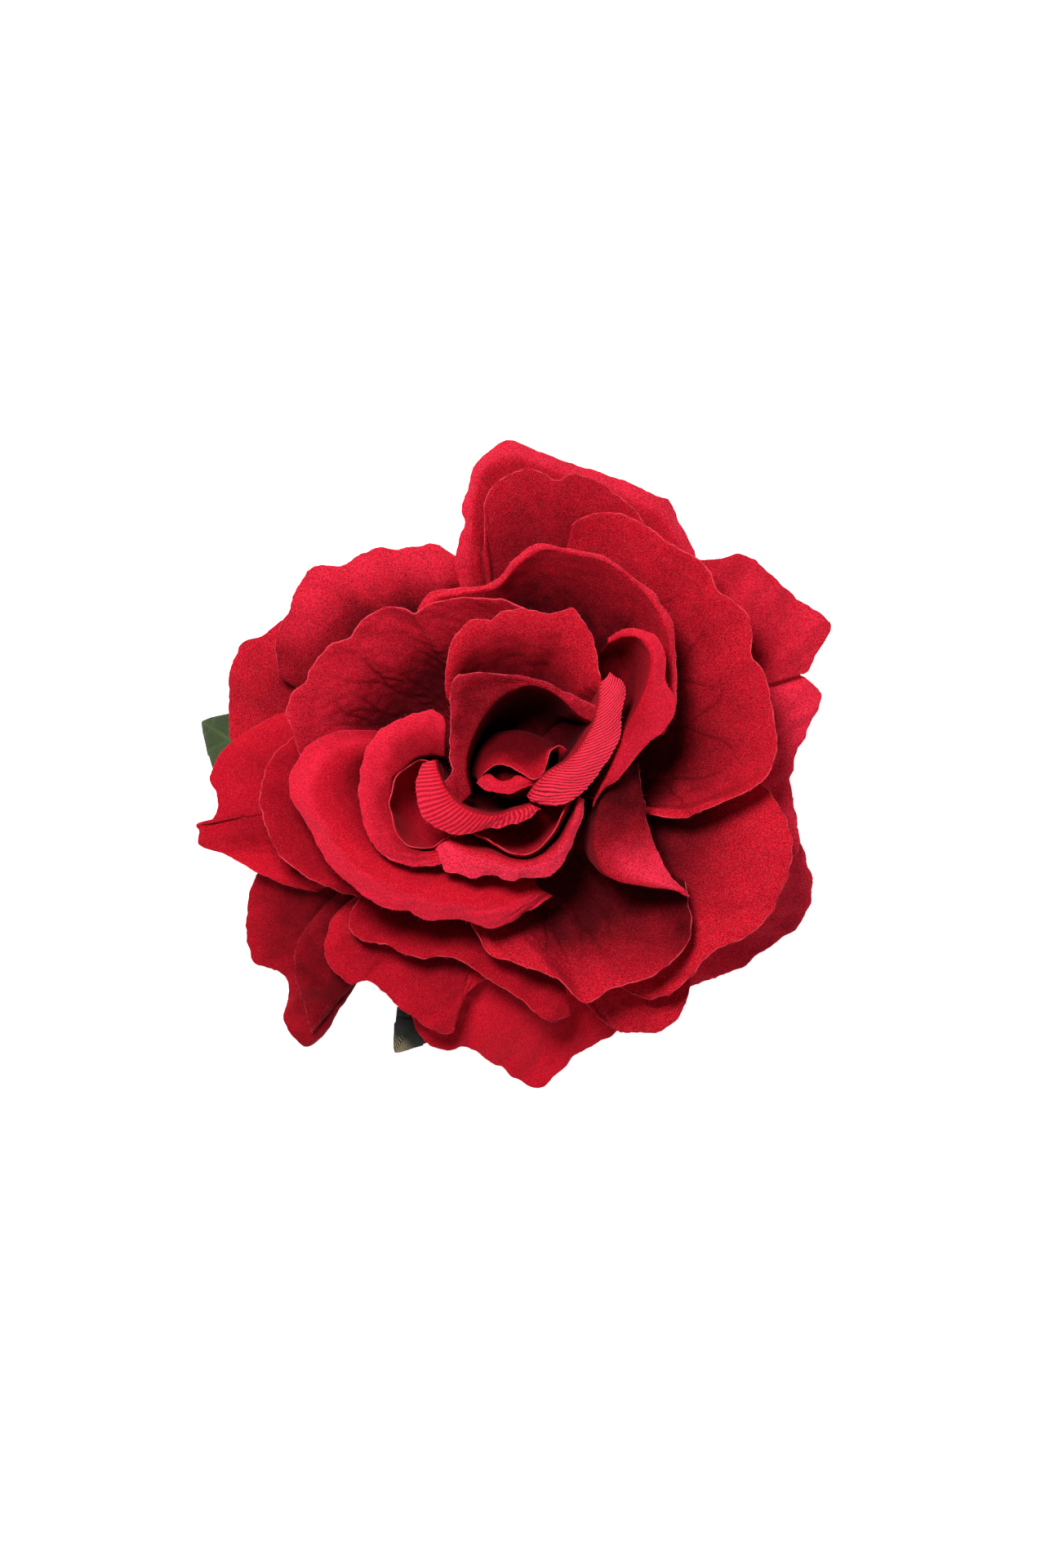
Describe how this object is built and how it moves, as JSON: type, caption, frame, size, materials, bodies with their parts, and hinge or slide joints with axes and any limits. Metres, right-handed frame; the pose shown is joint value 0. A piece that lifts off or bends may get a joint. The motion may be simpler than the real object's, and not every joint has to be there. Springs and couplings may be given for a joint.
{
  "type": "flower hair clip",
  "caption": "Hair clip with a full rose head of velvety red fabric petals on a round felt pad, over a sprung metal clip with a toothed jaw.",
  "frame": {"origin": "on the table, under the axis of the flower head", "axes": "+Z is the way the flower faces, away from the clip; X runs along the clip, from its toothed tip at -X to its thumb lever at +X"},
  "size_m": [0.1091, 0.1115, 0.0496],
  "materials": {
    "petal_velvet": "flocked matte fabric with a soft sheen",
    "leaf_cloth": "starched woven cloth",
    "calyx_plastic": "matte",
    "felt": "needled felt",
    "clip_steel": "nickel plated, bright",
    "spring_steel": "drawn wire"
  },
  "bodies": {
    "flower": {"bud_core": "petal_velvet", "bud_wrap_back": "petal_velvet", "bud_wrap_front": "petal_velvet", "calyx": "calyx_plastic", "clip_pin": "clip_steel", "clip_spring": "spring_steel", "clip_upper_jaw": "clip_steel", "felt_pad": "felt", "flower_hub": "calyx_plastic", "leaf_bottom": "leaf_cloth", "leaf_left": "leaf_cloth", "petal_back_inner": "petal_velvet", "petal_back_outer": "petal_velvet", "petal_behind_left": "petal_velvet", "petal_corner_right": "petal_velvet", "petal_cup_back": "petal_velvet", "petal_cup_front": "petal_velvet", "petal_cup_left": "petal_velvet", "petal_cup_lining": "petal_velvet", "petal_cup_nested": "petal_velvet", "petal_cup_right": "petal_velvet", "petal_cup_side": "petal_velvet", "petal_cup_top": "petal_velvet", "petal_curl_right": "petal_velvet", "petal_front_outer": "petal_velvet", "petal_large_right": "petal_velvet", "petal_low_left": "petal_velvet", "petal_lower_left": "petal_velvet", "petal_lower_lip": "petal_velvet", "petal_lower_right": "petal_velvet", "petal_outer_left": "petal_velvet", "petal_right_back": "petal_velvet", "petal_right_front": "petal_velvet", "petal_right_low": "petal_velvet", "petal_ring_top": "petal_velvet", "petal_spread_left": "petal_velvet", "petal_tongue_left": "petal_velvet", "petal_upper_left": "petal_velvet", "petal_veined_left": "petal_velvet", "petal_wide_left": "petal_velvet", "petal_wing_right": "petal_velvet", "petal_wrinkled_front": "petal_velvet"},
    "lower_jaw": {"clip_lower_jaw": "clip_steel"}
  },
  "joints": [
    {"name": "jaw_hinge", "type": "hinge", "parent": "flower", "child": "lower_jaw", "pos_m": [0.01, 0, 0.0082], "axis": [0, -1, 0], "range_deg": [0, 26], "stiffness_Nm_per_rad": 0.08, "springref_deg": -51.57, "deforming": ["clip_spring"]}
  ]
}
